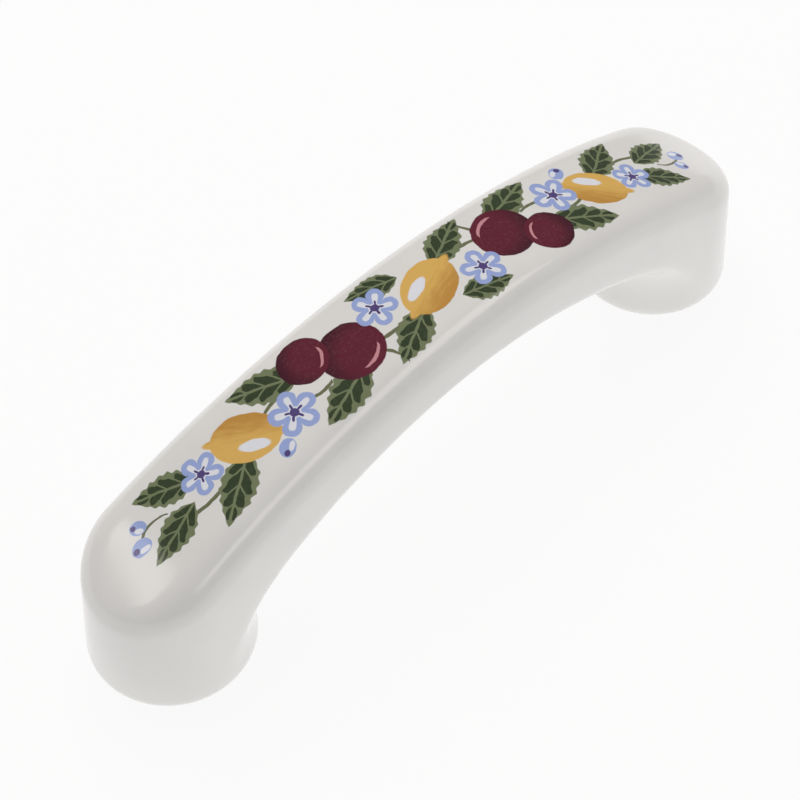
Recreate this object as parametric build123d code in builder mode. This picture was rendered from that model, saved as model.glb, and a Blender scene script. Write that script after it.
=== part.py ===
from build123d import *
from math import asin, cos, radians, sin, sqrt, tan
import os

# Ceramic bow handle for a cabinet door or drawer, screwed on from behind through two brass inserts.
# The frame stands on the mounting plane: Z is the projection from the door, X runs along the handle
# and the origin lies midway between the two screws. All sizes are in millimetres and degrees.

# Plan of the glazed body
hole_spacing = 76.2
foot_width = 18.6
wall_draft = 4.2

# Side view of the bow
projection = 26.4
top_radius = 96.5
end_roll_radius = 36.0
grip_thickness = 7.5
arch_radius = 58.0

# Edges of the body
top_edge_radius = 3.5
grip_edge_radius = 1.3
foot_flare_radius = 10.5
foot_rim_radius = 1.2
rim_wall_share = 0.6

# Brass inserts, cemented into a blind socket in each foot
insert_radius = 3.2
insert_length = 10.0
insert_recess = 0.3
insert_edge = 0.3
cement_gap = 0.15
socket_edge = 0.4
thread_bore_radius = 1.75
thread_mouth_radius = 2.25
key_groove_width = 1.2
key_groove_depth = 0.4
key_groove_count = 2

# How far shaping profiles run past the faces that they shape
overrun = 4.0

half_spacing = hole_spacing / 2
foot_radius = foot_width / 2
half_length = half_spacing + foot_radius
draft_angle = radians(wall_draft)
socket_depth = insert_recess + insert_length
foot_sides = {"left": -1, "right": 1}

# Top line of the bow: one long arc over the span, rolling off more tightly past the screws
roll_start = asin(half_spacing / top_radius)
roll_start_height = projection - top_radius * (1 - cos(roll_start))
roll_reach = half_length + overrun
roll_end = asin(sin(roll_start) + (roll_reach - half_spacing) / end_roll_radius)
roll_end_height = roll_start_height - end_roll_radius * (cos(roll_start) - cos(roll_end))

# Arched underside of the grip, ending over the screws
grip_underside = projection - grip_thickness
arch_centre_height = grip_underside - arch_radius
arch_end_height = arch_centre_height + sqrt(arch_radius**2 - half_spacing**2)

# Flare that carries each foot's leaning wall into the arch, touching both in the middle plane
flare_wall = half_spacing - foot_radius - foot_flare_radius / cos(draft_angle)
flare_offset = (flare_wall + arch_centre_height * tan(draft_angle)) * cos(draft_angle)
flare_rise = sqrt((arch_radius - foot_flare_radius) ** 2 - flare_offset**2)
flare_x = flare_offset * cos(draft_angle) + flare_rise * sin(draft_angle)
flare_height = arch_centre_height + flare_rise * cos(draft_angle) - flare_offset * sin(draft_angle)
arch_touch_scale = arch_radius / (arch_radius - foot_flare_radius)
arch_touch_x = flare_x * arch_touch_scale
arch_touch_height = arch_centre_height + (flare_height - arch_centre_height) * arch_touch_scale
wall_touch_x = flare_x + foot_flare_radius * cos(draft_angle)
wall_touch_height = flare_height - foot_flare_radius * sin(draft_angle)

# Rounding of the foot's rim, within its share of the straight wall under the flare
rim_radius = min(foot_rim_radius, rim_wall_share * wall_touch_height)

# Blank: round-ended plan that leans in towards the top, with a bowed top and a large soft edge
with BuildPart() as blank:
    with BuildSketch():
        SlotCenterToCenter(hole_spacing, foot_width)
    extrude(amount=projection + overrun, taper=wall_draft)
    with BuildSketch(Plane.XZ):
        with BuildLine():
            ThreePointArc(
                (-half_spacing, roll_start_height), (0, projection), (half_spacing, roll_start_height)
            )
            RadiusArc((half_spacing, roll_start_height), (roll_reach, roll_end_height), end_roll_radius)
            Polyline(
                (roll_reach, roll_end_height),
                (roll_reach, 0),
                (-roll_reach, 0),
                (-roll_reach, roll_end_height),
            )
            RadiusArc((-roll_reach, roll_end_height), (-half_spacing, roll_start_height), end_roll_radius)
        make_face()
    extrude(amount=foot_width, both=True, mode=Mode.INTERSECT)
    top_faces = blank.faces().filter_by(GeomType.CYLINDER)
    top_edges = top_faces.edges().filter_by(lambda edge: edge.geom_type != GeomType.LINE)
    fillet(top_edges, top_edge_radius)

# Feet: turned about the screws, with a rounded rim at the door and the flare up to the arch
with BuildPart() as feet:
    with BuildSketch(Plane.XZ) as foot_profile:
        with BuildLine():
            Polyline(
                (arch_touch_x, arch_touch_height),
                (arch_touch_x, projection),
                (half_spacing, projection),
                (half_spacing, 0),
                (half_spacing - foot_radius, 0),
                (wall_touch_x, wall_touch_height),
            )
            RadiusArc(
                (wall_touch_x, wall_touch_height), (arch_touch_x, arch_touch_height), -foot_flare_radius
            )
        make_face()
        rim_corner = foot_profile.vertices().sort_by_distance((half_spacing - foot_radius, 0, 0))[0]
        fillet(rim_corner, rim_radius)
    revolve(axis=Axis((half_spacing, 0, 0), (0, 0, 1)))
    mirror(about=Plane.YZ)
    add(blank.part, mode=Mode.INTERSECT)

with BuildPart() as ceramic_body:
    # Grip: the part of the blank above the arch, with softened lower edges
    add(blank.part)
    with BuildSketch(Plane.XZ):
        with BuildLine():
            ThreePointArc(
                (-half_spacing, arch_end_height), (0, grip_underside), (half_spacing, arch_end_height)
            )
            Polyline(
                (half_spacing, arch_end_height),
                (half_spacing, projection + overrun),
                (-half_spacing, projection + overrun),
                (-half_spacing, arch_end_height),
            )
        make_face()
    extrude(amount=foot_width, both=True, mode=Mode.INTERSECT)
    underside = ceramic_body.faces().filter_by(GeomType.CYLINDER).sort_by(Axis.Z)[0]
    fillet(underside.edges().filter_by(lambda edge: edge.geom_type != GeomType.LINE), grip_edge_radius)
    add(feet.part)

    # Blind sockets for the inserts
    with BuildSketch():
        with Locations((-half_spacing, 0), (half_spacing, 0)):
            Circle(insert_radius + cement_gap)
    extrude(amount=socket_depth, mode=Mode.SUBTRACT)
    socket_mouths = ceramic_body.edges().filter_by(GeomType.CIRCLE).filter_by(
        lambda edge: abs(edge.center().Z) < socket_edge and edge.radius < foot_radius / 2
    )
    chamfer(socket_mouths, socket_edge)
ceramic_body.part.label = "ceramic_body"

os.makedirs("parts", exist_ok=True)
export_step(ceramic_body.part, "parts/ceramic_body.step")

groove_pitch = insert_length / (key_groove_count + 1)
for side_name, side in foot_sides.items():
    with BuildPart() as threaded_insert:
        with BuildSketch(Plane.XY.offset(insert_recess)):
            with Locations((side * half_spacing, 0)):
                Circle(insert_radius)
        extrude(amount=insert_length)
        chamfer(threaded_insert.edges().filter_by(GeomType.CIRCLE), insert_edge)
        for groove in range(key_groove_count):
            groove_height = insert_recess + (groove + 1) * groove_pitch - key_groove_width / 2
            with BuildSketch(Plane.XY.offset(groove_height)):
                with Locations((side * half_spacing, 0)):
                    Circle(insert_radius)
                    Circle(insert_radius - key_groove_depth, mode=Mode.SUBTRACT)
            extrude(amount=key_groove_width, mode=Mode.SUBTRACT)
        with BuildSketch(Plane.XY.offset(insert_recess)):
            with Locations((side * half_spacing, 0)):
                Circle(thread_bore_radius)
        extrude(amount=insert_length, mode=Mode.SUBTRACT)
        bore_mouths = threaded_insert.edges().filter_by(GeomType.CIRCLE).filter_by(
            lambda edge: edge.radius < thread_mouth_radius
        )
        chamfer(bore_mouths, thread_mouth_radius - thread_bore_radius)
    insert_name = f"threaded_insert_{side_name}"
    threaded_insert.part.label = insert_name
    export_step(threaded_insert.part, f"parts/{insert_name}.step")
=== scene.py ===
import math

import bpy
from bpy.props import FloatProperty, FloatVectorProperty, IntProperty, PointerProperty
from mathutils import Matrix, Vector


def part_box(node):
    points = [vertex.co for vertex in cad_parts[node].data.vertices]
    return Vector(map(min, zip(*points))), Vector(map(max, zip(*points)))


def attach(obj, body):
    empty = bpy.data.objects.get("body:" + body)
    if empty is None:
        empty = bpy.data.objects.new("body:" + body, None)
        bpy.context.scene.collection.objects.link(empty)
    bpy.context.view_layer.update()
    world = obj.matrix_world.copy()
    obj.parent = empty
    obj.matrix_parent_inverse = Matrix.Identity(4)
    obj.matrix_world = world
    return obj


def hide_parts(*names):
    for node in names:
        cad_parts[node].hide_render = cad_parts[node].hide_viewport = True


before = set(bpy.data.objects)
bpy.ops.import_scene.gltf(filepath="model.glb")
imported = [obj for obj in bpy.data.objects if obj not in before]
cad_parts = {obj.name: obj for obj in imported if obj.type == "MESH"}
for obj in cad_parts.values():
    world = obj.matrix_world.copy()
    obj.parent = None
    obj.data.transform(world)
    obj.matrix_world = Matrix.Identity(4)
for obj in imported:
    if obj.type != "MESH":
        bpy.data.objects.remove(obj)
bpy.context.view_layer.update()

bl_info = {
    "name": "Glazed Cabinet Handle",
    "version": (1, 0, 0),
    "blender": (4, 5, 0),
    "location": "View3D > Sidebar > Handle",
    "description": "Dresses a ceramic bow handle in glaze, a fruit garland and brass inserts",
    "category": "Object",
}

MM = 0.001
INSERT_LOW, INSERT_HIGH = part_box("threaded_insert_right")
HALF_SPACING = (INSERT_LOW[0] + INSERT_HIGH[0]) / 2
INSERT_RADIUS = (INSERT_HIGH[0] - INSERT_LOW[0]) / 2

# Points closer than this are merged into one
WELD = 0.002 * MM
THREAD_WELD = 0.001 * MM

# Where the walls run into the flares, in millimetres from the middle and above the door. In each pair the
# weight goes from nothing at the first figure to full at the second.
FLARE_INNER_END = (14.0, 20.0)
FLARE_OUTER_END = (38.0, 34.0)
FLARE_LOWER_END = (1.5, 4.0)
FLARE_UPPER_END = (17.0, 14.0)
SMOOTHING = 0.5

# Turned pieces and the ridge of the thread, whose widths are shares of the pitch and of its own foot
TURN_STEPS = 72
THREAD_STEPS = 36
RIDGE_FOOT = 0.9
RIDGE_CREST = 0.16
RIDGE_OVERLAP = 0.02 * MM
INSERT_EDGE = 0.3 * MM
SHARP_EDGE = math.radians(35)

# Section of a cement ring: distance out from the insert's wall and up from its lower end, in millimetres
CEMENT_SECTION = ((-0.2, 0.08), (0.0, -0.03), (0.2, -0.08), (0.36, 0.0), (0.2, 0.5), (0.0, 0.6))

# Floor: its matt grey, and the share of it that glows, for light on the handle and where it is seen
FLOOR_GREY = 0.86
FLOOR_GLOW = 0.95
FLOOR_GLOW_SEEN = 0.87
# The glow falls off from the handle outwards, between two distances in metres, on an oval along the bow
GLOW_REACH = (0.03, 0.2)
GLOW_LEVEL = (1.32, 0.45)
GLOW_OVAL = (0.6, 1.0, 0.0)
# It is dimmer under the feet, out to a distance in millimetres from the screws
FOOT_SHADE = 0.55
FOOT_SHADE_END = (7.5, 10.0)

# Surround: the soft light from the horizon to the zenith, and the white sweep at the horizon in reflections
TENT_LIGHT = (0.53, 0.58)
SWEEP_HEIGHT = (-0.02, 0.1)
SWEEP_LIGHT = (1.0, 0.2)

# Lamps, in metres and watts. The first two light the handle, and the tubes are only mirrored in its glaze.
WHITE = (1.0, 1.0, 1.0)
WARM = (1.0, 0.965, 0.93)
LAMPS = {
    "softbox_above": {
        "place": (0.1, 0.3, 0.65),
        "aim": (0.0, 0.0, 0.01),
        "size": (0.7, 0.7),
        "power": 2.6,
        "colour": WARM,
        "mirrored": False,
    },
    "strip_right": {
        "place": (0.4, -0.38, 0.06),
        "aim": (0.0, 0.0, 0.01),
        "size": (0.5, 0.1),
        "power": 0.38,
        "colour": WHITE,
        "mirrored": False,
    },
    "tube_right": {
        "place": (0.07, -0.44, 0.55),
        "aim": (-0.195, -0.075, 0.02),
        "size": (0.94, 0.22),
        "power": 1.45,
        "colour": WARM,
        "mirrored": True,
    },
    "tube_left": {
        "place": (-0.46, 0.32, 0.49),
        "aim": (-0.46, 0.0, 0.02),
        "size": (0.3, 0.06),
        "power": 0.2,
        "colour": WARM,
        "mirrored": True,
    },
}


class HandleGlaze(bpy.types.PropertyGroup):
    """Surface of the glazed body"""

    voxel: FloatProperty(
        name="Clay grain",
        description="Voxel size that the body is remeshed at",
        default=0.3 * MM,
        unit="LENGTH",
        precision=5,
    )
    softening: IntProperty(
        name="Softening",
        description="Smoothing passes that round the edges as running glaze does",
        default=14,
        min=0,
    )
    pooling: IntProperty(
        name="Pooling",
        description="Smoothing passes that fill the hollows where the walls run into the feet",
        default=160,
        min=0,
    )
    thinning: FloatProperty(
        name="Thinning",
        description="Share of those passes that also rounds the edges there",
        default=0.35,
        subtype="FACTOR",
        min=0.0,
        max=1.0,
    )
    white: FloatVectorProperty(
        name="Glaze white",
        description="Colour of the bare glaze",
        default=(0.73, 0.715, 0.695),
        subtype="COLOR",
        size=3,
    )
    bisque: FloatVectorProperty(
        name="Bisque",
        description="Colour of the unglazed clay under the feet",
        default=(0.62, 0.55, 0.46),
        subtype="COLOR",
        size=3,
    )
    roughness: FloatProperty(
        name="Gloss roughness",
        description="Roughness of the fired glaze",
        default=0.14,
        subtype="FACTOR",
        min=0.0,
        max=1.0,
    )


class HandlePrint(bpy.types.PropertyGroup):
    """Fruit garland under the glaze, on the top of the bow"""

    leaf: FloatVectorProperty(
        name="Leaf",
        description="Main green of the leaves",
        default=(0.165, 0.195, 0.1),
        subtype="COLOR",
        size=3,
    )
    leaf_shade: FloatVectorProperty(
        name="Leaf shade",
        description="Brush strokes in the leaves",
        default=(0.032, 0.047, 0.019),
        subtype="COLOR",
        size=3,
    )
    lemon: FloatVectorProperty(
        name="Lemon",
        description="Main ochre of the lemons",
        default=(0.68, 0.41, 0.1),
        subtype="COLOR",
        size=3,
    )
    lemon_shade: FloatVectorProperty(
        name="Lemon shade",
        description="Shaded side of the lemons",
        default=(0.5, 0.25, 0.045),
        subtype="COLOR",
        size=3,
    )
    cherry: FloatVectorProperty(
        name="Cherry",
        description="Main red of the cherries",
        default=(0.115, 0.011, 0.026),
        subtype="COLOR",
        size=3,
    )
    cherry_shade: FloatVectorProperty(
        name="Cherry shade",
        description="Shaded side of the cherries",
        default=(0.05, 0.006, 0.017),
        subtype="COLOR",
        size=3,
    )
    cherry_glint: FloatVectorProperty(
        name="Cherry glint",
        description="Pale stroke on the cherries",
        default=(0.55, 0.24, 0.27),
        subtype="COLOR",
        size=3,
    )
    petal: FloatVectorProperty(
        name="Petal",
        description="Main blue of the blossoms and buds",
        default=(0.3, 0.375, 0.66),
        subtype="COLOR",
        size=3,
    )
    petal_light: FloatVectorProperty(
        name="Petal light",
        description="Pale strokes in the petals, buds and lemons",
        default=(0.72, 0.73, 0.78),
        subtype="COLOR",
        size=3,
    )
    flower_eye: FloatVectorProperty(
        name="Flower eye",
        description="Violet middle of the blossoms and tip of the buds",
        default=(0.08, 0.053, 0.19),
        subtype="COLOR",
        size=3,
    )
    vine: FloatVectorProperty(
        name="Vine",
        description="Colour of the vine and stalks",
        default=(0.14, 0.15, 0.075),
        subtype="COLOR",
        size=3,
    )
    wobble: FloatProperty(
        name="Hand wobble",
        description="How far a printed edge strays from its drawn line",
        default=0.32 * MM,
        unit="LENGTH",
        precision=5,
    )
    vine_swing: FloatProperty(
        name="Vine swing",
        description="Swing of the vine to each side",
        default=1.7 * MM,
        unit="LENGTH",
        precision=5,
    )
    vine_wave: FloatProperty(
        name="Vine wave",
        description="Length of one wave of the vine",
        default=25 * MM,
        unit="LENGTH",
        precision=5,
    )
    vine_width: FloatProperty(
        name="Vine width",
        description="Width of the vine's line",
        default=0.5 * MM,
        unit="LENGTH",
        precision=5,
    )
    vine_reach: FloatProperty(
        name="Vine reach",
        description="Distance from the middle to the vine's ends",
        default=36.5 * MM,
        unit="LENGTH",
        precision=5,
    )


class HandleInsert(bpy.types.PropertyGroup):
    """Brass inserts in the feet"""

    brass: FloatVectorProperty(
        name="Brass",
        description="Colour of clean turned brass",
        default=(0.78, 0.56, 0.24),
        subtype="COLOR",
        size=3,
    )
    tarnish: FloatVectorProperty(
        name="Tarnish",
        description="Colour of dulled brass",
        default=(0.42, 0.27, 0.11),
        subtype="COLOR",
        size=3,
    )
    cement: FloatVectorProperty(
        name="Cement",
        description="Colour of the setting cement",
        default=(0.56, 0.53, 0.47),
        subtype="COLOR",
        size=3,
    )
    thread_pitch: FloatProperty(
        name="Thread pitch",
        description="Rise of the thread in one turn",
        default=0.7 * MM,
        unit="LENGTH",
        precision=5,
    )
    thread_root: FloatProperty(
        name="Thread root radius",
        description="Radius at the bottom of the thread",
        default=2.08 * MM,
        unit="LENGTH",
        precision=5,
    )
    thread_crest: FloatProperty(
        name="Thread crest radius",
        description="Radius at the top of the thread",
        default=1.75 * MM,
        unit="LENGTH",
        precision=5,
    )
    mouth: FloatProperty(
        name="Mouth radius",
        description="Radius of the countersunk mouth",
        default=2.3 * MM,
        unit="LENGTH",
        precision=5,
    )
    groove_depth: FloatProperty(
        name="Groove depth",
        description="Depth of the key grooves",
        default=0.4 * MM,
        unit="LENGTH",
        precision=5,
    )
    groove_width: FloatProperty(
        name="Groove width",
        description="Width of the key grooves",
        default=1.2 * MM,
        unit="LENGTH",
        precision=5,
    )


class HandleStage(bpy.types.PropertyGroup):
    """Floor and camera"""

    camera_aim: FloatVectorProperty(
        name="Camera aim",
        description="Point at the middle of the picture",
        default=(-3.995 * MM, 0.297 * MM, 10.041 * MM),
        subtype="TRANSLATION",
        size=3,
        precision=5,
    )
    camera_azimuth: FloatProperty(
        name="Camera azimuth",
        description="Turn of the camera about the upright axis, from straight in front",
        default=math.radians(-44.099),
        subtype="ANGLE",
    )
    camera_elevation: FloatProperty(
        name="Camera elevation",
        description="Height of the camera above the floor, as an angle",
        default=math.radians(52.641),
        subtype="ANGLE",
    )
    camera_distance: FloatProperty(
        name="Camera distance",
        description="Distance from the camera to its aim",
        default=225 * MM,
        unit="LENGTH",
    )
    camera_lens: FloatProperty(
        name="Lens",
        description="Focal length in millimetres on a 36 mm sensor",
        default=91.754,
    )
    floor_height: FloatProperty(
        name="Floor height",
        description="Height of the floor, a hair under the feet",
        default=-0.02 * MM,
        unit="LENGTH",
        precision=5,
    )
    floor_size: FloatProperty(
        name="Floor size",
        description="Width of the square floor",
        default=3.0,
        unit="LENGTH",
    )


class NodeBench:
    """Lays nodes in one tree and joins them. A value is a socket, a number, a tuple or None."""

    def __init__(self, tree):
        self.tree = tree

    def feed(self, socket, value):
        if isinstance(value, bpy.types.NodeSocket):
            self.tree.links.new(value, socket)
        elif value is not None:
            socket.default_value = value

    def node(self, kind, *values, **settings):
        made = self.tree.nodes.new(kind)
        for name, setting in settings.items():
            setattr(made, name, setting)
        for socket, value in zip(made.inputs, values):
            self.feed(socket, value)
        return made

    def math(self, operation, *values):
        return self.node("ShaderNodeMath", *values, operation=operation).outputs[0]

    def vector(self, operation, *values):
        return self.node("ShaderNodeVectorMath", *values, operation=operation).outputs[0]

    def scaled(self, vector, factor):
        made = self.node("ShaderNodeVectorMath", vector, operation="SCALE")
        made.inputs["Scale"].default_value = factor
        return made.outputs[0]

    def length(self, vector):
        return self.node("ShaderNodeVectorMath", vector, operation="LENGTH").outputs["Value"]

    def dot(self, vector, other):
        return self.node("ShaderNodeVectorMath", vector, other, operation="DOT_PRODUCT").outputs["Value"]

    def split(self, vector):
        return self.node("ShaderNodeSeparateXYZ", vector).outputs

    def joined(self, x, y, z):
        return self.node("ShaderNodeCombineXYZ", x, y, z).outputs[0]

    def between(self, value, span, levels):
        """Go from the first level to the second while the value crosses the span"""
        return self.node("ShaderNodeMapRange", value, *span, *levels).outputs[0]

    def step(self, value, low, high):
        made = self.node("ShaderNodeMapRange", value, low, high, 0.0, 1.0)
        made.interpolation_type = "SMOOTHSTEP"
        return made.outputs[0]

    def inside(self, depth, softness):
        """Rise from 0 at an edge to 1 at a little depth inside it"""
        return self.step(depth, 0.0, softness)

    def noise(self, vector, scale, detail=2.0):
        made = self.node("ShaderNodeTexNoise", vector)
        made.inputs["Scale"].default_value = scale
        made.inputs["Detail"].default_value = detail
        return made.outputs["Fac"]

    def bump(self, height, strength, distance):
        made = self.node("ShaderNodeBump")
        made.inputs["Strength"].default_value = strength
        made.inputs["Distance"].default_value = distance
        self.feed(made.inputs["Height"], height)
        return made.outputs[0]

    def blend(self, factor, under, over):
        made = self.node("ShaderNodeMix", data_type="RGBA")
        for socket, value in ((made.inputs[0], factor), (made.inputs[6], under), (made.inputs[7], over)):
            self.feed(socket, value)
        return made.outputs[2]


def rgba(colour, brightness=1.0):
    return (*(channel * brightness for channel in colour), 1.0)


def new_material(name):
    material = bpy.data.materials.new(name)
    material.use_nodes = True
    material.node_tree.nodes.clear()
    return material, NodeBench(material.node_tree)


def close_material(bench, shader):
    bench.node("ShaderNodeOutputMaterial", shader)


def select_only(piece):
    bpy.ops.object.select_all(action="DESELECT")
    piece.select_set(True)
    bpy.context.view_layer.objects.active = piece


def apply_modifier(piece, kind, **settings):
    modifier = piece.modifiers.new(kind.title(), kind)
    for name, setting in settings.items():
        setattr(modifier, name, setting)
    select_only(piece)
    bpy.ops.object.modifier_apply(modifier=modifier.name)


def new_motif(name):
    """Node group that turns a place on a unit motif into its cover and ink"""
    tree = bpy.data.node_groups.new(name, "ShaderNodeTree")
    tree.interface.new_socket("Place", in_out="INPUT", socket_type="NodeSocketVector")
    tree.interface.new_socket("Cover", in_out="OUTPUT", socket_type="NodeSocketFloat")
    tree.interface.new_socket("Ink", in_out="OUTPUT", socket_type="NodeSocketColor")
    bench = NodeBench(tree)
    return bench, bench.node("NodeGroupInput").outputs[0]


def close_motif(bench, cover, ink):
    bench.node("NodeGroupOutput", cover, ink)
    return bench.tree


def within(bench, place, middle, reach):
    """Distance from the edge of an ellipse, positive inside and 1 at its middle"""
    local = bench.vector("DIVIDE", bench.vector("SUBTRACT", place, middle), reach)
    return bench.math("SUBTRACT", 1.0, bench.length(local))


def leaf_motif(inks):
    """Toothed leaf, from its stalk at -X to its tip at +X"""
    half_width, narrowing, least_width = 0.5, -0.17, 0.2
    teeth, tooth_depth = 23.0, 0.035
    veins, vein_slant, vein_line = 13.0, -1.2, (-0.97, -0.82)
    stroke_share, stroke_wave, rib_edge = 0.68, 0.06, (0.025, 0.05)
    bench, place = new_motif("leaf_motif")
    along, across, _ = bench.split(place)
    side = bench.math("ABSOLUTE", across)
    taper = bench.math("SUBTRACT", 1.0, bench.math("MULTIPLY", along, along))
    narrowed = bench.math("MULTIPLY_ADD", along, narrowing, half_width)
    fullness = bench.math("MAXIMUM", narrowed, least_width)
    tooth = bench.math("SINE", bench.math("MULTIPLY", along, teeth))
    rim = bench.math("MULTIPLY", taper, bench.math("MULTIPLY_ADD", tooth, tooth_depth, fullness))
    cover = bench.inside(bench.math("SUBTRACT", rim, side), 0.035)
    slant = bench.math("MULTIPLY_ADD", side, vein_slant, along)
    vein = bench.math("SINE", bench.math("MULTIPLY", slant, veins))
    stroke_rim = bench.math("MULTIPLY_ADD", vein, stroke_wave, bench.math("MULTIPLY", rim, stroke_share))
    stroke = bench.inside(bench.math("SUBTRACT", stroke_rim, side), 0.04)
    beside_rib = bench.step(side, *rib_edge)
    between_veins = bench.step(vein, *vein_line)
    shade = bench.math("MULTIPLY", bench.math("MULTIPLY", stroke, beside_rib), between_veins)
    return close_motif(bench, cover, bench.blend(shade, rgba(inks.leaf), rgba(inks.leaf_shade)))


def lemon_motif(inks):
    """Lemon with a nib at each end and one bare highlight"""
    core_reach, nib_reach, nib_weight = (0.9, 0.66, 1.0), (1.13, 0.22, 1.0), 0.3
    stroke_stretch, stroke_scale, stroke_weight = (1.5, 7.0, 1.0), 1.3, 0.7
    shade_edge = (-0.2, 0.5)
    glint_place, glint_reach = (-0.2, 0.24, 0.0), (0.44, 0.17, 1.0)
    bench, place = new_motif("lemon_motif")
    core = within(bench, place, (0, 0, 0), core_reach)
    nib = bench.math("MULTIPLY", within(bench, place, (0, 0, 0), nib_reach), nib_weight)
    cover = bench.inside(bench.math("MAXIMUM", core, nib), 0.03)
    brushed = bench.noise(bench.vector("MULTIPLY", place, stroke_stretch), stroke_scale)
    lit_side = bench.math("MULTIPLY_ADD", brushed, stroke_weight, bench.split(place)[1])
    skin = bench.blend(bench.step(lit_side, *shade_edge), rgba(inks.lemon_shade), rgba(inks.lemon))
    glint = bench.inside(within(bench, place, glint_place, glint_reach), 0.2)
    return close_motif(bench, cover, bench.blend(glint, skin, rgba(inks.petal_light)))


def cherry_motif(inks):
    """Cherry with a shaded side and a curved pale stroke"""
    light_place, light_reach = (-0.3, 0.3, 0.0), (1.4, 1.4, 1.0)
    glint_depth, glint_width = 0.27, 0.07
    glint_side, glint_end = (-0.45, 0.9, 0.0), (0.5, 0.7)
    bench, place = new_motif("cherry_motif")
    depth = within(bench, place, (0, 0, 0), (1.0, 0.96, 1.0))
    cover = bench.inside(depth, 0.03)
    lit = bench.inside(within(bench, place, light_place, light_reach), 0.55)
    skin = bench.blend(lit, rgba(inks.cherry_shade), rgba(inks.cherry))
    off_ring = bench.math("ABSOLUTE", bench.math("SUBTRACT", depth, glint_depth))
    facing = bench.step(bench.dot(place, glint_side), *glint_end)
    narrowed = bench.math("MULTIPLY", facing, glint_width)
    glint = bench.inside(bench.math("SUBTRACT", narrowed, off_ring), 0.02)
    return close_motif(bench, cover, bench.blend(glint, skin, rgba(inks.cherry_glint)))


def blossom_motif(inks):
    """Five-petalled blossom with pale strokes and a violet eye"""
    petal_count = 5
    heart, petal_length = 0.5, 0.5
    stroke_heart, stroke_length, stroke_edge = 0.28, 0.5, (0.6, 1.0)
    eye_radius, ray_length, ray_edge = 0.2, 0.2, (0.8, 1.0)
    bench, place = new_motif("blossom_motif")
    along, across, _ = bench.split(place)
    reach = bench.length(place)
    turn = bench.math("MULTIPLY", bench.math("ARCTAN2", across, along), petal_count / 2)
    lobe = bench.math("ABSOLUTE", bench.math("COSINE", turn))
    rim = bench.math("MULTIPLY_ADD", bench.math("SQRT", lobe), petal_length, heart)
    cover = bench.inside(bench.math("SUBTRACT", rim, reach), 0.04)
    stroke_rim = bench.math("MULTIPLY_ADD", bench.step(lobe, *stroke_edge), stroke_length, stroke_heart)
    stroke = bench.inside(bench.math("SUBTRACT", stroke_rim, reach), 0.08)
    petals = bench.blend(stroke, rgba(inks.petal), rgba(inks.petal_light))
    eye_rim = bench.math("MULTIPLY_ADD", bench.step(lobe, *ray_edge), ray_length, eye_radius)
    eye = bench.inside(bench.math("SUBTRACT", eye_rim, reach), 0.04)
    return close_motif(bench, cover, bench.blend(eye, petals, rgba(inks.flower_eye)))


def bud_motif(inks):
    """Round bud, pale on one side, with a violet tip"""
    pale_place, pale_reach = (-0.2, 0.35, 0.0), (0.6, 0.35, 1.0)
    tip_place, tip_reach = (0.55, 0.0, 0.0), (0.35, 0.35, 1.0)
    bench, place = new_motif("bud_motif")
    cover = bench.inside(within(bench, place, (0, 0, 0), (1.0, 0.85, 1.0)), 0.06)
    pale = bench.inside(within(bench, place, pale_place, pale_reach), 0.25)
    tip = bench.inside(within(bench, place, tip_place, tip_reach), 0.2)
    skin = bench.blend(pale, rgba(inks.petal), rgba(inks.petal_light))
    return close_motif(bench, cover, bench.blend(tip, skin, rgba(inks.flower_eye)))


def stalk_motif(inks):
    """Curved stalk, from -X to +X"""
    sag_depth, sag_middle = 0.4, -0.2
    half_width, widening = 0.09, 0.02
    bench, place = new_motif("stalk_motif")
    along, across, _ = bench.split(place)
    sag = bench.math("MULTIPLY_ADD", bench.math("MULTIPLY", along, along), sag_depth, sag_middle)
    off_line = bench.math("ABSOLUTE", bench.math("SUBTRACT", across, sag))
    thick = bench.math("MULTIPLY_ADD", along, widening, half_width)
    on_line = bench.inside(bench.math("SUBTRACT", thick, off_line), 0.03)
    ended = bench.inside(bench.math("SUBTRACT", 1.0, bench.math("ABSOLUTE", along)), 0.05)
    return close_motif(bench, bench.math("MULTIPLY", on_line, ended), rgba(inks.vine))


MOTIFS = {
    "leaf": leaf_motif,
    "lemon": lemon_motif,
    "cherry": cherry_motif,
    "blossom": blossom_motif,
    "bud": bud_motif,
    "stalk": stalk_motif,
}

# One half of the garland, from the lowest ink to the top one: each motif with its place along and across
# the bow, its turn in degrees and its half length. Places and lengths are in millimetres. The other half
# is the same turned by half a circle, and the lemon in the middle is printed once.
GARLAND = (
    ("stalk", 9.4, 3.2, -50.0, 2.6),
    ("stalk", 17.6, 1.0, 160.0, 2.4),
    ("stalk", 37.6, -1.3, 0.0, 1.9),
    ("leaf", 5.6, 3.5, 28.0, 3.9),
    ("leaf", 4.7, -4.1, -15.0, 3.2),
    ("leaf", 15.2, 3.7, 18.0, 4.2),
    ("leaf", 20.6, -3.5, -28.0, 4.1),
    ("leaf", 29.6, 2.9, 33.0, 4.0),
    ("leaf", 34.4, -3.1, -30.0, 3.5),
    ("leaf", 36.6, 1.2, 14.0, 3.5),
    ("lemon", 0.0, 0.0, 24.0, 4.5),
    ("lemon", 25.4, -0.6, -38.0, 4.2),
    ("cherry", 11.4, 0.3, 0.0, 3.7),
    ("cherry", 15.7, -2.6, 30.0, 2.9),
    ("blossom", 6.1, -1.9, 10.0, 2.6),
    ("blossom", 20.3, 1.2, 40.0, 2.8),
    ("blossom", 30.9, -1.3, 65.0, 2.4),
    ("bud", 23.4, 3.6, 40.0, 1.1),
    ("bud", 39.6, -0.6, -10.0, 1.1),
    ("bud", 38.6, -2.4, -45.0, 0.9),
)


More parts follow.
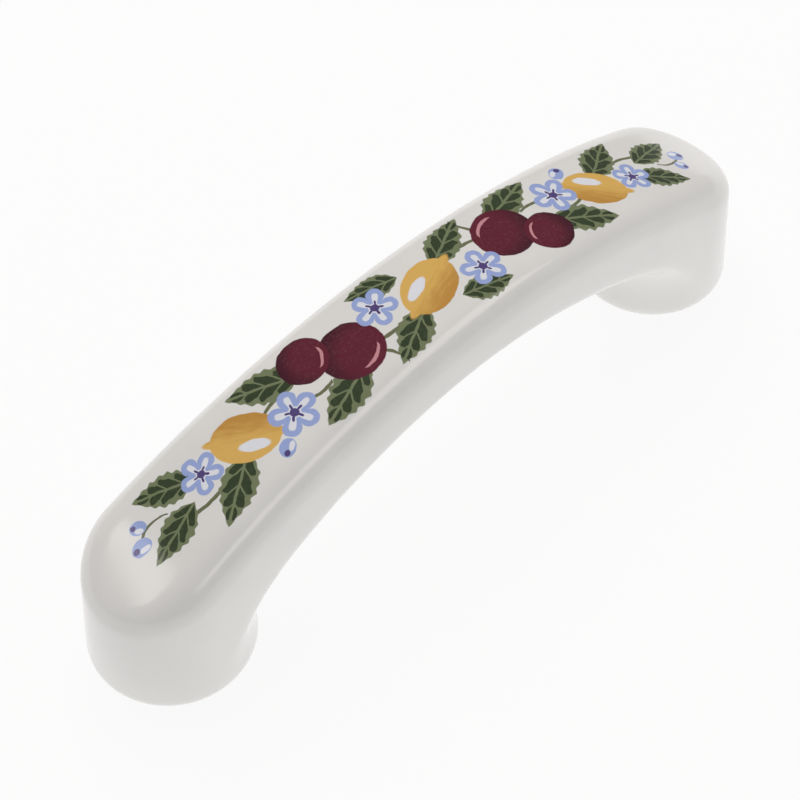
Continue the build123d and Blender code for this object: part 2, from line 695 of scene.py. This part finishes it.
def lay_vine(bench, along, across, inks):
    """Cover of the thin line that winds through the garland"""
    swing = bench.math("SINE", bench.math("MULTIPLY", along, math.tau * MM / inks.vine_wave))
    off_line = bench.math("ABSOLUTE", bench.math("MULTIPLY_ADD", swing, -inks.vine_swing / MM, across))
    on_line = bench.inside(bench.math("SUBTRACT", inks.vine_width / MM / 2, off_line), 0.08)
    ended = bench.inside(bench.math("SUBTRACT", inks.vine_reach / MM, along), 0.3)
    return bench.math("MULTIPLY", on_line, ended)


def print_garland(bench, place, white, inks):
    """Colour of the glaze with the garland printed on it; place is in millimetres"""
    wobble_scale, speck_scale, speck_edge, ink_loss = 0.8, 3.5, (0.2, 0.55), 0.03
    stray = bench.node("ShaderNodeTexNoise", place)
    stray.inputs["Scale"].default_value = wobble_scale
    drift = bench.vector("SUBTRACT", stray.outputs["Color"], (0.5, 0.5, 0.5))
    along, across, _ = bench.split(bench.vector("ADD", place, bench.scaled(drift, inks.wobble / MM)))
    whole = bench.joined(along, across, 0.0)
    half = bench.math("SIGN", along)
    along = bench.math("ABSOLUTE", along)
    across = bench.math("MULTIPLY", across, half)
    folded = bench.joined(along, across, 0.0)
    specks = bench.step(bench.noise(place, speck_scale, 3.0), *speck_edge)
    density = bench.math("MULTIPLY_ADD", specks, ink_loss, 1.0 - ink_loss)
    vine_cover = bench.math("MULTIPLY", lay_vine(bench, along, across, inks), density)
    colour = bench.blend(vine_cover, white, rgba(inks.vine))
    motifs = {name: build(inks) for name, build in MOTIFS.items()}
    for name, x, y, turn, size in GARLAND:
        sheet = folded if x > 0 else whole
        seat = bench.node(
            "ShaderNodeMapping", sheet, (x, y, 0.0), (0.0, 0.0, math.radians(turn)), (size, size, 1.0),
            vector_type="TEXTURE",
        )
        motif = bench.node("ShaderNodeGroup", node_tree=motifs[name])
        bench.feed(motif.inputs[0], seat.outputs[0])
        cover = bench.math("MULTIPLY", motif.outputs["Cover"], density)
        colour = bench.blend(cover, colour, motif.outputs["Ink"])
    return colour


def glaze_material(glaze, inks):
    """White glaze with the garland on top, bare clay under the feet"""
    cloud_scale, cloud_edge, cloud_depth = 0.12, (0.35, 0.7), 0.97
    top_slope = (0.3, 0.4)
    rag_scale, rag_height, glaze_line = 1.6, 0.12, (0.1, 0.14)
    grain_scale, grain_light, clay_roughness = 9.0, 1.2, 0.65
    ripple_scale, ripple_strength, ripple_height = 0.22, 0.12, 0.05 * MM
    material, bench = new_material("white_glaze")
    where = bench.node("ShaderNodeTexCoord").outputs
    place = bench.scaled(where["Object"], 1 / MM)
    height = bench.split(place)[2]
    cloud = bench.step(bench.noise(place, cloud_scale), *cloud_edge)
    white = bench.blend(cloud, rgba(glaze.white), rgba(glaze.white, cloud_depth))
    on_top = bench.step(bench.split(where["Normal"])[2], *top_slope)
    white = bench.blend(on_top, white, print_garland(bench, place, white, inks))
    ragged = bench.math("MULTIPLY_ADD", bench.noise(place, rag_scale), rag_height, height)
    glazed = bench.step(ragged, *glaze_line)
    grain = bench.noise(place, grain_scale, 4.0)
    bare = bench.blend(grain, rgba(glaze.bisque), rgba(glaze.bisque, grain_light))
    unglazed = bench.math("SUBTRACT", 1.0, glazed)
    ripple = bench.noise(place, ripple_scale, 3.0)
    shader = bench.node("ShaderNodeBsdfPrincipled")
    shader.inputs["IOR"].default_value = 1.52
    bench.feed(shader.inputs["Base Color"], bench.blend(glazed, bare, white))
    rough = bench.math("MULTIPLY_ADD", unglazed, clay_roughness, glaze.roughness)
    bench.feed(shader.inputs["Roughness"], rough)
    bench.feed(shader.inputs["Normal"], bench.bump(ripple, ripple_strength, ripple_height))
    close_material(bench, shader.outputs[0])
    return material


def fade(value, none, full):
    """Go from 0 to 1 while the value goes from none to full"""
    return min(max((value - none) / (full - none), 0.0), 1.0)


def mark_flares(body):
    """Weigh the points where the walls run into the flares above the feet"""
    flares = body.vertex_groups.new(name="flares")
    for vertex in body.data.vertices:
        along, height = abs(vertex.co.x) / MM, vertex.co.z / MM
        inner = fade(along, *FLARE_INNER_END) * fade(along, *FLARE_OUTER_END)
        low = fade(height, *FLARE_LOWER_END) * fade(height, *FLARE_UPPER_END)
        flares.add([vertex.index], inner * low, "REPLACE")
    return flares.name


def pool_glaze(body, passes, thinning):
    """Fill the hollows above the feet as running glaze does, and thin it a little on the edges there"""
    before = [(vertex.co.copy(), vertex.normal.copy()) for vertex in body.data.vertices]
    apply_modifier(body, "SMOOTH", factor=SMOOTHING, iterations=passes, vertex_group=mark_flares(body))
    for vertex, (place, normal) in zip(body.data.vertices, before):
        if (vertex.co - place).dot(normal) < 0.0:
            vertex.co = place.lerp(vertex.co, thinning)


class HANDLE_OT_glazed_body(bpy.types.Operator):
    """Make the glazed body from the clay shape"""

    bl_idname = "handle.glazed_body"
    bl_label = "Glazed Body"

    def execute(self, context):
        glaze = context.scene.handle_glaze
        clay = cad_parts["ceramic_body"]
        body = bpy.data.objects.new("glazed_body", clay.data.copy())
        context.collection.objects.link(body)
        select_only(body)
        bpy.ops.object.mode_set(mode="EDIT")
        bpy.ops.mesh.select_all(action="SELECT")
        bpy.ops.mesh.remove_doubles(threshold=WELD)
        bpy.ops.object.mode_set(mode="OBJECT")
        apply_modifier(body, "REMESH", mode="VOXEL", voxel_size=glaze.voxel, use_smooth_shade=True)
        pool_glaze(body, glaze.pooling, glaze.thinning)
        apply_modifier(body, "SMOOTH", factor=SMOOTHING, iterations=glaze.softening)
        bpy.ops.object.shade_smooth()
        body.data.materials.clear()
        body.data.materials.append(glaze_material(glaze, context.scene.handle_print))
        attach(body, "root")
        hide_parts("ceramic_body")
        return {"FINISHED"}


def turn_piece(name, rings):
    """Turn a closed section of (radius, height) corners about the upright axis"""
    bpy.ops.object.select_all(action="DESELECT")
    radius, height = rings[0]
    bpy.ops.mesh.primitive_circle_add(vertices=TURN_STEPS, radius=radius, location=(0, 0, height))
    piece = bpy.context.active_object
    piece.name = name
    bpy.ops.object.transform_apply(location=True)
    bpy.ops.object.mode_set(mode="EDIT")
    bpy.ops.mesh.select_all(action="SELECT")
    for next_radius, next_height in (*rings[1:], rings[0]):
        bpy.ops.mesh.extrude_edges_move(TRANSFORM_OT_translate={"value": (0, 0, next_height - height)})
        widening = next_radius / radius
        bpy.ops.transform.resize(value=(widening, widening, 1.0), center_override=(0, 0, next_height))
        radius, height = next_radius, next_height
    bpy.ops.mesh.select_all(action="SELECT")
    bpy.ops.mesh.remove_doubles(threshold=WELD)
    bpy.ops.mesh.normals_make_consistent(inside=False)
    bpy.ops.object.mode_set(mode="OBJECT")
    return piece


def wind_thread(root, crest, pitch, low, high):
    """Wind the ridge of an inside thread between two heights"""
    turns = int((high - low) / pitch)
    middle = (root + crest) / 2
    bpy.ops.object.select_all(action="DESELECT")
    bpy.ops.mesh.primitive_plane_add(size=1.0, location=(middle, 0, low), rotation=(math.pi / 2, 0, 0))
    ridge = bpy.context.active_object
    ridge.scale = (root - crest, pitch * RIDGE_FOOT, 1.0)
    bpy.ops.object.transform_apply(location=True, rotation=True, scale=True)
    for vertex in ridge.data.vertices:
        vertex.select = vertex.co.x < middle
    bpy.ops.object.mode_set(mode="EDIT")
    bpy.ops.transform.resize(value=(1.0, 1.0, RIDGE_CREST), center_override=(crest, 0, low))
    bpy.ops.mesh.select_all(action="SELECT")
    bpy.ops.mesh.delete(type="ONLY_FACE")
    bpy.ops.object.mode_set(mode="OBJECT")
    steps = {"steps": THREAD_STEPS, "render_steps": THREAD_STEPS}
    apply_modifier(ridge, "SCREW", axis="Z", screw_offset=pitch, iterations=turns, **steps)
    bpy.ops.object.mode_set(mode="EDIT")
    bpy.ops.mesh.select_all(action="SELECT")
    bpy.ops.mesh.remove_doubles(threshold=THREAD_WELD)
    bpy.ops.mesh.fill_holes(sides=4)
    bpy.ops.mesh.normals_make_consistent(inside=False)
    bpy.ops.object.mode_set(mode="OBJECT")
    return ridge


def seat_in_feet(piece, stem):
    """Put the piece in the right foot and a copy of it in the left one"""
    other = piece.copy()
    other.data = piece.data.copy()
    bpy.context.collection.objects.link(other)
    seated = {"right": piece, "left": other}
    for side, place in (("right", HALF_SPACING), ("left", -HALF_SPACING)):
        seated[side].name = f"{stem}_{side}"
        seated[side].location = (place, 0, 0)
        select_only(seated[side])
        bpy.ops.object.transform_apply(location=True)
        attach(seated[side], "root")
    return seated


def foot_place(bench):
    """Place from the nearer screw's axis, in millimetres"""
    x, y, z = bench.split(bench.scaled(bench.node("ShaderNodeTexCoord").outputs["Object"], 1 / MM))
    from_axis = bench.math("SUBTRACT", bench.math("ABSOLUTE", x), HALF_SPACING / MM)
    return bench.joined(from_axis, y, z)


def brass_material(insert):
    """Turned brass, dulled in patches"""
    patch_scale, patch_edge = 0.7, (0.42, 0.68)
    clean_roughness, dull_roughness = 0.24, 0.46
    mark_rhythm, mark_strength, mark_height = 42.0, 0.25, 0.01 * MM
    material, bench = new_material("turned_brass")
    place = foot_place(bench)
    patch = bench.step(bench.noise(place, patch_scale, 4.0), *patch_edge)
    radius = bench.length(bench.vector("MULTIPLY", place, (1.0, 1.0, 0.0)))
    tool_marks = bench.math("SINE", bench.math("MULTIPLY", radius, mark_rhythm))
    rough = bench.math("MULTIPLY_ADD", patch, dull_roughness - clean_roughness, clean_roughness)
    shader = bench.node("ShaderNodeBsdfPrincipled")
    shader.inputs["Metallic"].default_value = 1.0
    bench.feed(shader.inputs["Base Color"], bench.blend(patch, rgba(insert.brass), rgba(insert.tarnish)))
    bench.feed(shader.inputs["Roughness"], rough)
    bench.feed(shader.inputs["Normal"], bench.bump(tool_marks, mark_strength, mark_height))
    close_material(bench, shader.outputs[0])
    return material


def cement_material(insert):
    """Grainy setting cement"""
    grain_scale, grain_light = 4.0, 1.25
    grit_strength, grit_height = 0.6, 0.05 * MM
    material, bench = new_material("setting_cement")
    grain = bench.noise(foot_place(bench), grain_scale, 5.0)
    colour = bench.blend(grain, rgba(insert.cement), rgba(insert.cement, grain_light))
    shader = bench.node("ShaderNodeBsdfPrincipled")
    shader.inputs["Roughness"].default_value = 0.9
    bench.feed(shader.inputs["Base Color"], colour)
    bench.feed(shader.inputs["Normal"], bench.bump(grain, grit_strength, grit_height))
    close_material(bench, shader.outputs[0])
    return material


class HANDLE_OT_brass_inserts(bpy.types.Operator):
    """Turn the brass inserts and wind their threads"""

    bl_idname = "handle.brass_inserts"
    bl_label = "Brass Inserts"

    def execute(self, context):
        insert = context.scene.handle_insert
        low, high = INSERT_LOW[2], INSERT_HIGH[2]
        sink = insert.mouth - insert.thread_root
        edge_radius = INSERT_RADIUS - INSERT_EDGE
        groove_radius = INSERT_RADIUS - insert.groove_depth
        rings = [(insert.mouth, low), (edge_radius, low), (INSERT_RADIUS, low + INSERT_EDGE)]
        for third in (1, 2):
            middle = low + (high - low) * third / 3
            start, end = middle - insert.groove_width / 2, middle + insert.groove_width / 2
            rings += [(INSERT_RADIUS, start), (groove_radius, start)]
            rings += [(groove_radius, end), (INSERT_RADIUS, end)]
        rings += [(INSERT_RADIUS, high - INSERT_EDGE), (edge_radius, high), (insert.mouth, high)]
        rings += [(insert.thread_root, high - sink), (insert.thread_root, low + sink)]
        sleeve = turn_piece("insert", rings)
        ridge = wind_thread(
            insert.thread_root + RIDGE_OVERLAP, insert.thread_crest, insert.thread_pitch,
            low + insert.thread_pitch, high - insert.thread_pitch,
        )
        select_only(sleeve)
        ridge.select_set(True)
        bpy.ops.object.join()
        sleeve.data.materials.append(brass_material(insert))
        bpy.ops.object.shade_smooth_by_angle(angle=SHARP_EDGE)
        for side, piece in seat_in_feet(sleeve, "insert").items():
            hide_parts(f"threaded_insert_{side}")
        return {"FINISHED"}


class HANDLE_OT_cement_rings(bpy.types.Operator):
    """Fill the gap round each insert with cement"""

    bl_idname = "handle.cement_rings"
    bl_label = "Cement Rings"

    def execute(self, context):
        rings = [(INSERT_RADIUS + out * MM, INSERT_LOW[2] + up * MM) for out, up in CEMENT_SECTION]
        ring = turn_piece("cement", rings)
        ring.data.materials.append(cement_material(context.scene.handle_insert))
        select_only(ring)
        bpy.ops.object.shade_smooth()
        seat_in_feet(ring, "cement")
        return {"FINISHED"}


def hang_lamp(name, place, aim, size, power, colour, mirrored):
    """Hang a lamp that lights the handle, or that is only mirrored in its glaze"""
    lamp = bpy.data.lights.new(name, "AREA")
    lamp.shape = "RECTANGLE"
    lamp.size, lamp.size_y = size
    lamp.energy = power
    lamp.color = colour
    holder = bpy.data.objects.new(name, lamp)
    holder.location = place
    holder.rotation_euler = (Vector(aim) - Vector(place)).to_track_quat("-Z", "Y").to_euler()
    holder.visible_diffuse = not mirrored
    holder.visible_glossy = mirrored
    bpy.context.collection.objects.link(holder)


def seen_directly(bench):
    """1 for rays that should meet a plain white surround"""
    path = bench.node("ShaderNodeLightPath").outputs
    seen = bench.math("MAXIMUM", path["Is Camera Ray"], path["Is Glossy Ray"])
    return bench.math("MAXIMUM", seen, path["Is Transmission Ray"])


class HANDLE_OT_stage(bpy.types.Operator):
    """Set the floor, soft lamps, white surround and camera"""

    bl_idname = "handle.stage"
    bl_label = "Stage"

    def execute(self, context):
        stage = context.scene.handle_stage
        context.scene.view_settings.view_transform = "Standard"
        self.lay_floor(stage)
        self.light_world(context)
        for name, lamp in LAMPS.items():
            hang_lamp(name, **lamp)
        self.place_camera(context, stage)
        return {"FINISHED"}

    def lay_floor(self, stage):
        bpy.ops.object.select_all(action="DESELECT")
        bpy.ops.mesh.primitive_plane_add(size=stage.floor_size, location=(0, 0, stage.floor_height))
        floor = bpy.context.active_object
        floor.name = "floor"
        material, bench = new_material("pale_floor")
        matt = bench.node("ShaderNodeBsdfDiffuse", rgba(WHITE, FLOOR_GREY))
        seen = seen_directly(bench)
        oval = bench.vector("MULTIPLY", bench.node("ShaderNodeTexCoord").outputs["Object"], GLOW_OVAL)
        bounce = bench.between(bench.length(oval), GLOW_REACH, GLOW_LEVEL)
        clear = bench.step(bench.length(foot_place(bench)), *FOOT_SHADE_END)
        shade = bench.math("MULTIPLY_ADD", clear, 1.0 - FOOT_SHADE, FOOT_SHADE)
        bounce = bench.math("MULTIPLY", bounce, shade)
        level = bench.node("ShaderNodeMix", seen, None, bounce, 1.0).outputs[0]
        glow = bench.node("ShaderNodeEmission", rgba(WHITE), level)
        share = bench.math("MULTIPLY_ADD", seen, FLOOR_GLOW_SEEN - FLOOR_GLOW, FLOOR_GLOW)
        above = bench.node("ShaderNodeMixShader", share, matt.outputs[0], glow.outputs[0]).outputs[0]
        below = bench.node("ShaderNodeBsdfTransparent").outputs[0]
        behind = bench.node("ShaderNodeNewGeometry").outputs["Backfacing"]
        close_material(bench, bench.node("ShaderNodeMixShader", behind, above, below).outputs[0])
        floor.data.materials.append(material)

    def light_world(self, context):
        world = bpy.data.worlds.new("studio")
        context.scene.world = world
        world.use_nodes = True
        world.node_tree.nodes.clear()
        bench = NodeBench(world.node_tree)
        upward = bench.split(bench.node("ShaderNodeTexCoord").outputs["Generated"])[2]
        tent = bench.between(upward, (0.0, 1.0), TENT_LIGHT)
        sweep = bench.between(upward, SWEEP_HEIGHT, SWEEP_LIGHT)
        behind = bench.math("MAXIMUM", sweep, bench.node("ShaderNodeLightPath").outputs["Is Camera Ray"])
        soft = bench.node("ShaderNodeBackground", rgba(WHITE), tent)
        white = bench.node("ShaderNodeBackground", rgba(WHITE), behind)
        mixed = bench.node("ShaderNodeMixShader", seen_directly(bench), soft.outputs[0], white.outputs[0])
        bench.node("ShaderNodeOutputWorld", mixed.outputs[0])

    def place_camera(self, context, stage):
        back = Vector((
            math.sin(stage.camera_azimuth) * math.cos(stage.camera_elevation),
            -math.cos(stage.camera_azimuth) * math.cos(stage.camera_elevation),
            math.sin(stage.camera_elevation),
        ))
        right = Vector((math.cos(stage.camera_azimuth), math.sin(stage.camera_azimuth), 0.0))
        up = back.cross(right)
        camera = bpy.data.objects.new("camera", bpy.data.cameras.new("camera"))
        camera.data.lens = stage.camera_lens
        camera.data.sensor_width = 36.0
        camera.data.clip_start = 0.01
        turn = Matrix((right, up, back)).transposed().to_4x4()
        eye = Vector(stage.camera_aim) + back * stage.camera_distance
        camera.matrix_world = Matrix.Translation(eye) @ turn
        context.collection.objects.link(camera)
        context.scene.camera = camera


class HANDLE_PT_sidebar(bpy.types.Panel):
    """Sizes, colours and operators of the handle"""

    bl_idname = "HANDLE_PT_sidebar"
    bl_label = "Glazed Cabinet Handle"
    bl_space_type = "VIEW_3D"
    bl_region_type = "UI"
    bl_category = "Handle"

    def draw(self, context):
        scene = context.scene
        sections = (
            (HANDLE_OT_glazed_body, (scene.handle_glaze, scene.handle_print)),
            (HANDLE_OT_brass_inserts, (scene.handle_insert,)),
            (HANDLE_OT_cement_rings, ()),
            (HANDLE_OT_stage, (scene.handle_stage,)),
        )
        for operator, groups in sections:
            box = self.layout.box()
            box.operator(operator.bl_idname)
            for group in groups:
                for name in group.__annotations__:
                    box.prop(group, name)


CLASSES = (
    HandleGlaze,
    HandlePrint,
    HandleInsert,
    HandleStage,
    HANDLE_OT_glazed_body,
    HANDLE_OT_brass_inserts,
    HANDLE_OT_cement_rings,
    HANDLE_OT_stage,
    HANDLE_PT_sidebar,
)


def register():
    for cls in CLASSES:
        bpy.utils.register_class(cls)
    bpy.types.Scene.handle_glaze = PointerProperty(type=HandleGlaze)
    bpy.types.Scene.handle_print = PointerProperty(type=HandlePrint)
    bpy.types.Scene.handle_insert = PointerProperty(type=HandleInsert)
    bpy.types.Scene.handle_stage = PointerProperty(type=HandleStage)


def unregister():
    del bpy.types.Scene.handle_stage
    del bpy.types.Scene.handle_insert
    del bpy.types.Scene.handle_print
    del bpy.types.Scene.handle_glaze
    for cls in reversed(CLASSES):
        bpy.utils.unregister_class(cls)


def main():
    register()
    bpy.ops.handle.glazed_body()
    bpy.ops.handle.brass_inserts()
    bpy.ops.handle.cement_rings()
    bpy.ops.handle.stage()


if __name__ == "__main__":
    main()
